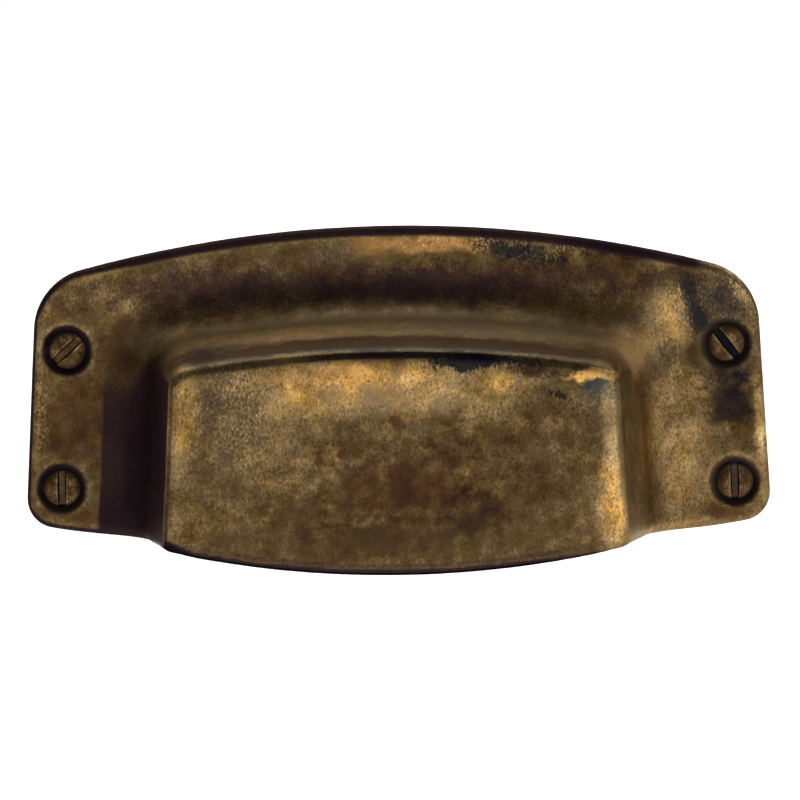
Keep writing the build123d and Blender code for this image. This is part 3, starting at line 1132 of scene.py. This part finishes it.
@dataclass
class WoodScrews(SubAssembly):
    """The four slotted screws with raised countersunk heads. Lengths are millimetres, turns are degrees."""

    node: str = "mounting_screws"
    name: str = "mounting_screw"
    slot: str = "darkened_screw_brass"
    seats: tuple[Seat, ...] = (
        Seat("upper_left", -44.2015, 9.3, 42.0, 0.78),
        Seat("upper_right", 44.2015, 9.3, -52.0, 1.4),
        Seat("lower_left", -45.2381, -9.3, 90.0, 0.82),
        Seat("lower_right", 45.2381, -9.3, 91.0, 0.86),
    )
    facets: int = 56
    head_radius: float = 2.55
    head_level: float = 2.27
    rim_height: float = 0.08
    crown: float = 0.6
    crown_rings: tuple[float, ...] = (0.93, 0.82, 0.68, 0.52, 0.34, 0.16)
    neck_radius: float = 1.42
    neck_level: float = 1.14
    shank_end: float = -0.3
    shank_run: float = 0.5
    core_radius: float = 1.0
    point_start: float = -11.13
    tip_level: float = -13.6
    tip_radius: float = 0.12
    pitch: float = 1.15
    crest_radius: float = 1.40
    ridge_half: float = 0.26
    ridge_root: float = 0.08
    ridge_gap: float = 0.9
    ridge_steps: int = 28
    slot_width: float = 1.25
    slot_floor: float = 0.78
    slot_bottom: float = 1.92
    edge_break: float = 0.07
    broken_angle: float = 40.0
    smooth_angle: float = 38.0
    # Dirt on the shank; up the head to its rim, dirt and painted shade of the groove; painted shade on the slot's
    # sides; metal on the slot's rubbed edges
    shank_dirt: float = 0.4
    rim_cleaner: float = 0.05
    head_slack: float = 0.05
    slot_wall_shade: float = 1.2
    side_sunk: float = 0.15
    floor_slack: float = 0.06
    rubbed: float = 0.3
    rubbed_sunk: float = 0.12
    rubbed_reach: float = 0.9
    rubbed_breaks: float = 1.5

    @property
    def ball(self) -> float:
        """Give the radius of the ball that the crown is a cap of."""
        return (self.head_radius**2 + self.crown**2) / (2 * self.crown)

    def build(self) -> list[Piece]:
        """Model one screw and set four copies of it in the casting.

        Returns:
            The four screws, without their material.
        """
        model = self._blank()
        self._cut_slot(model)
        self._cut_thread(model)
        pieces = [self._set(model, seat) for seat in self.seats]
        bpy.data.objects.remove(model)
        return pieces

    def _blank(self) -> Piece:
        """Turn the plain screw: crown, cone, shank, core and point.

        Returns:
            The blank, standing on its own axis with its head up.
        """
        bpy.ops.object.select_all(action="DESELECT")
        bpy.ops.mesh.primitive_circle_add(
            vertices=self.facets, radius=self.head_radius * MM, fill_type="NGON", location=(0.0, 0.0, 0.0)
        )
        blank = bpy.context.active_object
        blank.name = self.name
        bpy.ops.object.mode_set(mode="EDIT")
        bpy.ops.mesh.select_all(action="SELECT")
        bpy.ops.transform.translate(value=(0.0, 0.0, self.head_level * MM))
        was_radius, was_rise = self.head_radius, 0.0
        for share in self.crown_rings:
            radius = share * self.head_radius
            rise = math.sqrt(self.ball**2 - radius**2) - (self.ball - self.crown)
            bpy.ops.mesh.inset(thickness=(was_radius - radius) * MM, depth=(rise - was_rise) * MM)
            was_radius, was_rise = radius, rise
        rim = self.head_radius * MM - HAIR
        pick_edges(blank, lambda a, b: min(a.xy.length, b.xy.length) > rim)
        level, radius = self.head_level, self.head_radius
        for to_level, to_radius in (
            (self.head_level - self.rim_height, self.head_radius),
            (self.neck_level, self.neck_radius),
            (self.shank_end, self.neck_radius),
            (self.shank_end - self.shank_run, self.core_radius),
            (self.point_start, self.core_radius),
            (self.tip_level, self.tip_radius),
        ):
            bpy.ops.mesh.extrude_region_move(TRANSFORM_OT_translate={"value": (0.0, 0.0, (to_level - level) * MM)})
            share = to_radius / radius
            bpy.ops.transform.resize(value=(share, share, 1.0), center_override=(0.0, 0.0, to_level * MM))
            level, radius = to_level, to_radius
        bpy.ops.mesh.edge_face_add()
        bpy.ops.mesh.select_all(action="SELECT")
        bpy.ops.mesh.normals_make_consistent(inside=False)
        bpy.ops.object.mode_set(mode="OBJECT")
        return blank

    def _cut_slot(self, blank: Piece) -> None:
        """Saw the driver slot across the head and break its edges.

        Args:
            blank: The screw.
        """
        top = self.head_level + 2 * self.crown
        bpy.ops.object.select_all(action="DESELECT")
        bpy.ops.mesh.primitive_cube_add(size=MM, location=(0.0, 0.0, 0.0))
        saw = bpy.context.active_object
        bpy.ops.object.mode_set(mode="EDIT")
        bpy.ops.transform.resize(value=(3 * self.head_radius, self.slot_width, top - self.slot_bottom))
        bpy.ops.transform.translate(value=(0.0, 0.0, (top + self.slot_bottom) / 2 * MM))
        bpy.ops.object.mode_set(mode="OBJECT")
        lean = (self.slot_width - self.slot_floor) / (self.head_level + self.crown - self.slot_bottom)
        for vertex in saw.data.vertices:
            wide = self.slot_floor / 2 * MM + lean / 2 * (vertex.co.z - self.slot_bottom * MM)
            vertex.co.y = math.copysign(wide, vertex.co.y)
        finish_with(blank, "BOOLEAN", operation="DIFFERENCE", object=saw, solver="EXACT")
        bpy.data.objects.remove(saw)
        angle = math.radians(self.broken_angle)
        finish_with(
            blank, "BEVEL", width=self.edge_break * MM, segments=2, limit_method="ANGLE", angle_limit=angle
        )

    def _cut_thread(self, blank: Piece) -> None:
        """Wind the thread's ridge round the core and run it out on the point.

        Args:
            blank: The screw.
        """
        bpy.ops.object.select_all(action="DESELECT")
        bpy.ops.mesh.primitive_circle_add(vertices=3, radius=self.ridge_half * MM, location=(0.0, 0.0, 0.0))
        ridge = bpy.context.active_object
        root, start = self.core_radius - self.ridge_root, self.shank_end - self.ridge_gap
        section = ((root, self.ridge_half), (self.crest_radius, 0.0), (root, -self.ridge_half))
        for vertex, (x, z) in zip(ridge.data.vertices, section):
            vertex.co = Vector((x, 0.0, start + z)) * MM
        turns = int((start - self.tip_level - self.ridge_gap) / self.pitch)
        finish_with(
            ridge, "SCREW", axis="Z", angle=2 * math.pi, screw_offset=-self.pitch * MM, iterations=turns,
            steps=self.ridge_steps, render_steps=self.ridge_steps, use_merge_vertices=False,
        )
        point = (self.point_start - self.tip_level) * MM
        for vertex in ridge.data.vertices:
            run = (self.point_start * MM - vertex.co.z) / point
            if run > 0.0:
                narrow = 1.0 - run * (1.0 - self.tip_radius / self.core_radius)
                vertex.co.x, vertex.co.y = vertex.co.x * narrow, vertex.co.y * narrow
        take(ridge)
        bpy.ops.object.mode_set(mode="EDIT")
        bpy.ops.mesh.select_all(action="SELECT")
        bpy.ops.mesh.fill_holes(sides=4)
        bpy.ops.mesh.normals_make_consistent(inside=False)
        bpy.ops.object.mode_set(mode="OBJECT")
        finish_with(blank, "BOOLEAN", operation="UNION", object=ridge, solver="EXACT")
        bpy.data.objects.remove(ridge)

    def _survey(self, mesh: bpy.types.Mesh, slot_dirt: float) -> None:
        """Note on each vertex how dark it is, from dirt and painted shade, and how rubbed it is.

        Args:
            mesh: The screw on its own axis.
            slot_dirt: How dirty the floor of the slot is.
        """
        x, y, level = (points_of(mesh) / MM).T
        reach = np.hypot(x, y) / self.head_radius
        dome = np.sqrt(np.maximum(self.ball**2 - (reach * self.head_radius) ** 2, 0.0)) - (self.ball - self.crown)
        sunk = self.head_level + dome - level
        head = level > self.slot_bottom - self.head_slack
        floor = level < self.slot_bottom + self.floor_slack
        # Darker towards the head's rim: partly dirt, partly painted shade of the groove round it
        dirt_and_shade = np.where(head, reach - self.rim_cleaner, self.shank_dirt)
        # Painted shade on the slot's sides
        dirt_and_shade = np.where(head & (sunk > self.side_sunk) & ~floor, self.slot_wall_shade, dirt_and_shade)
        dirt_and_shade = np.where(head & floor, slot_dirt, dirt_and_shade)
        from_edge = np.abs(np.abs(y) - self.slot_width / 2)
        lip = head & (from_edge < self.rubbed_breaks * self.edge_break) & (sunk < self.rubbed_sunk)
        write_share(mesh, "dirt_and_shade", dirt_and_shade)
        write_share(mesh, "relief", np.where(lip & (reach < self.rubbed_reach), self.rubbed, 0.0))

    def _set(self, model: Piece, seat: Seat) -> Piece:
        """Copy the screw into one of its seats.

        Args:
            model: The finished screw on its own axis.
            seat: Where it goes, and how far its slot is turned, counterclockwise from the front.

        Returns:
            The screw in its seat.
        """
        piece = model.copy()
        piece.data = model.data.copy()
        piece.name = piece.data.name = f"{self.name}_{seat.name}"
        bpy.context.scene.collection.objects.link(piece)
        self._survey(piece.data, seat.slot_dirt)
        stand = Matrix.Rotation(math.radians(90), 4, "X")
        spin = Matrix.Rotation(math.radians(seat.turn), 4, "Z")
        piece.data.transform(Matrix.Translation((seat.x * MM, 0.0, seat.z * MM)) @ stand @ spin)
        take(piece)
        bpy.ops.object.shade_smooth_by_angle(angle=math.radians(self.smooth_angle))
        return piece


@dataclass(frozen=True)
class Softbox:
    """A studio lamp with a wide, even front. Lengths are metres, and the glow is its front's brightness."""

    name: str
    place: tuple[float, float, float]
    aim: tuple[float, float, float]
    width: float
    height: float
    glow: float

    def hang(self) -> None:
        """Hang the lamp, out of the camera's sight."""
        lamp = bpy.data.lights.new(self.name, "AREA")
        lamp.shape = "RECTANGLE"
        lamp.size, lamp.size_y = self.width, self.height
        lamp.energy = self.glow * math.pi * self.width * self.height
        holder = bpy.data.objects.new(self.name, lamp)
        holder.location = self.place
        holder.rotation_euler = (Vector(self.aim) - Vector(self.place)).to_track_quat("-Z", "Y").to_euler()
        holder.visible_camera = False
        bpy.context.scene.collection.objects.link(holder)


@dataclass
class Studio:
    """Floor, lamps and camera. Lengths are metres unless a name says otherwise, and turns are degrees."""

    floor_level: float = -0.085
    floor_size: float = 14.0
    floor_tone: str = "#EDEBE8"
    floor_glow: float = 0.72
    room_tone: str = "#FFFFFF"
    dim_light: float = 0.16
    target_mm: tuple[float, float, float] = (0.417, -3.0, 2.138)
    distance_mm: float = 900.0
    azimuth: float = 1.23
    elevation: float = 5.43
    roll: float = -0.76
    lens_mm: float = 301.86
    sensor_mm: float = 36.0
    nearest: float = 0.01
    lamps: tuple[Softbox, ...] = (
        Softbox("back_top_softbox", (0.0, 1.6, 1.55), (0.0, 1.3, 0.0), 3.6, 3.2, 1.5),
        Softbox("front_softbox", (0.2, -1.5, 0.33), (0.0, 0.0, 0.0), 1.5, 0.5, 1.9),
        Softbox("right_softbox", (1.25, -0.75, 0.25), (0.0, 0.0, 0.0), 0.7, 0.8, 1.6),
    )

    def build(self) -> None:
        """Set up the floor, the light and the camera."""
        self._lay_floor()
        self._light()
        self._set_camera()
        bpy.context.scene.view_settings.view_transform = "Standard"

    def _lay_floor(self) -> None:
        """Lay the pale floor that the pull is shown above."""
        bpy.ops.object.select_all(action="DESELECT")
        bpy.ops.mesh.primitive_plane_add(size=self.floor_size, location=(0.0, 0.0, self.floor_level))
        floor = bpy.context.active_object
        floor.name = "studio_floor"
        # Matt studio paper: pale all over, and white to the eye and to the metal that mirrors it
        material = new_material("studio_paper")
        tree = material.node_tree
        path = add_node(tree, "LightPath")
        seen = path["Is Camera Ray"]
        for ray in ("Is Glossy Ray", "Is Transmission Ray"):
            seen = add_node(tree, "Math", (seen, path[ray]), operation="MAXIMUM")[0]
        strength = add_node(tree, "Math", (seen, self.floor_glow), operation="MULTIPLY")[0]
        glow = add_node(tree, "Emission", {"Strength": strength})[0]
        paper = add_node(tree, "BsdfDiffuse", {"Color": linear(self.floor_tone)})[0]
        both = add_node(tree, "AddShader", (paper, glow))[0]
        add_node(tree, "OutputMaterial", {"Surface": both})
        floor.data.materials.append(material)

    def _light(self) -> None:
        """Hang the lamps in a dim, neutral room."""
        world = bpy.data.worlds.new("studio_room")
        world.use_nodes = True
        tree = world.node_tree
        tree.nodes.clear()
        room = add_node(tree, "Background", {"Color": linear(self.room_tone), "Strength": self.dim_light})[0]
        add_node(tree, "OutputWorld", {"Surface": room})
        bpy.context.scene.world = world
        for lamp in self.lamps:
            lamp.hang()

    def _set_camera(self) -> None:
        """Set the camera in front of the pull, a little to its right and above it."""
        azimuth, elevation, roll = (math.radians(a) for a in (self.azimuth, self.elevation, self.roll))
        level = math.cos(elevation)
        away = Vector((math.sin(azimuth) * level, -math.cos(azimuth) * level, math.sin(elevation)))
        side = Vector((0.0, 0.0, 1.0)).cross(away).normalized()
        rise = away.cross(side)
        side, rise = (
            side * math.cos(roll) + rise * math.sin(roll),
            rise * math.cos(roll) - side * math.sin(roll),
        )
        data = bpy.data.cameras.new("front_camera")
        data.sensor_width = self.sensor_mm
        data.lens = self.lens_mm
        data.clip_start = self.nearest
        camera = bpy.data.objects.new("front_camera", data)
        turn = Matrix((side, rise, away)).transposed().to_4x4()
        place = (Vector(self.target_mm) + away * self.distance_mm) * MM
        camera.matrix_world = Matrix.Translation(place) @ turn
        bpy.context.scene.collection.objects.link(camera)
        bpy.context.scene.camera = camera


def write_sizes() -> None:
    """Bring the placements of the pieces up to date."""
    bpy.context.view_layer.update()


def main() -> None:
    """Build the pull piece by piece and set it in the studio."""
    logging.basicConfig(level=logging.INFO, format="%(name)s: %(message)s")
    screws = WoodScrews()
    patina = PatinatedBrass(seats=tuple((seat.x, seat.z) for seat in screws.seats))
    for part, finish in ((Casting(), patina), (screws, ScrewBrass())):
        pieces = part.build()
        part.dress(pieces, finish.material())
        for piece in pieces:
            log.info("%s: %d faces", piece.name, len(piece.data.polygons))
    Studio().build()
    log.info("studio: floor, lamps and camera")
    write_sizes()


if __name__ == "__main__":
    main()
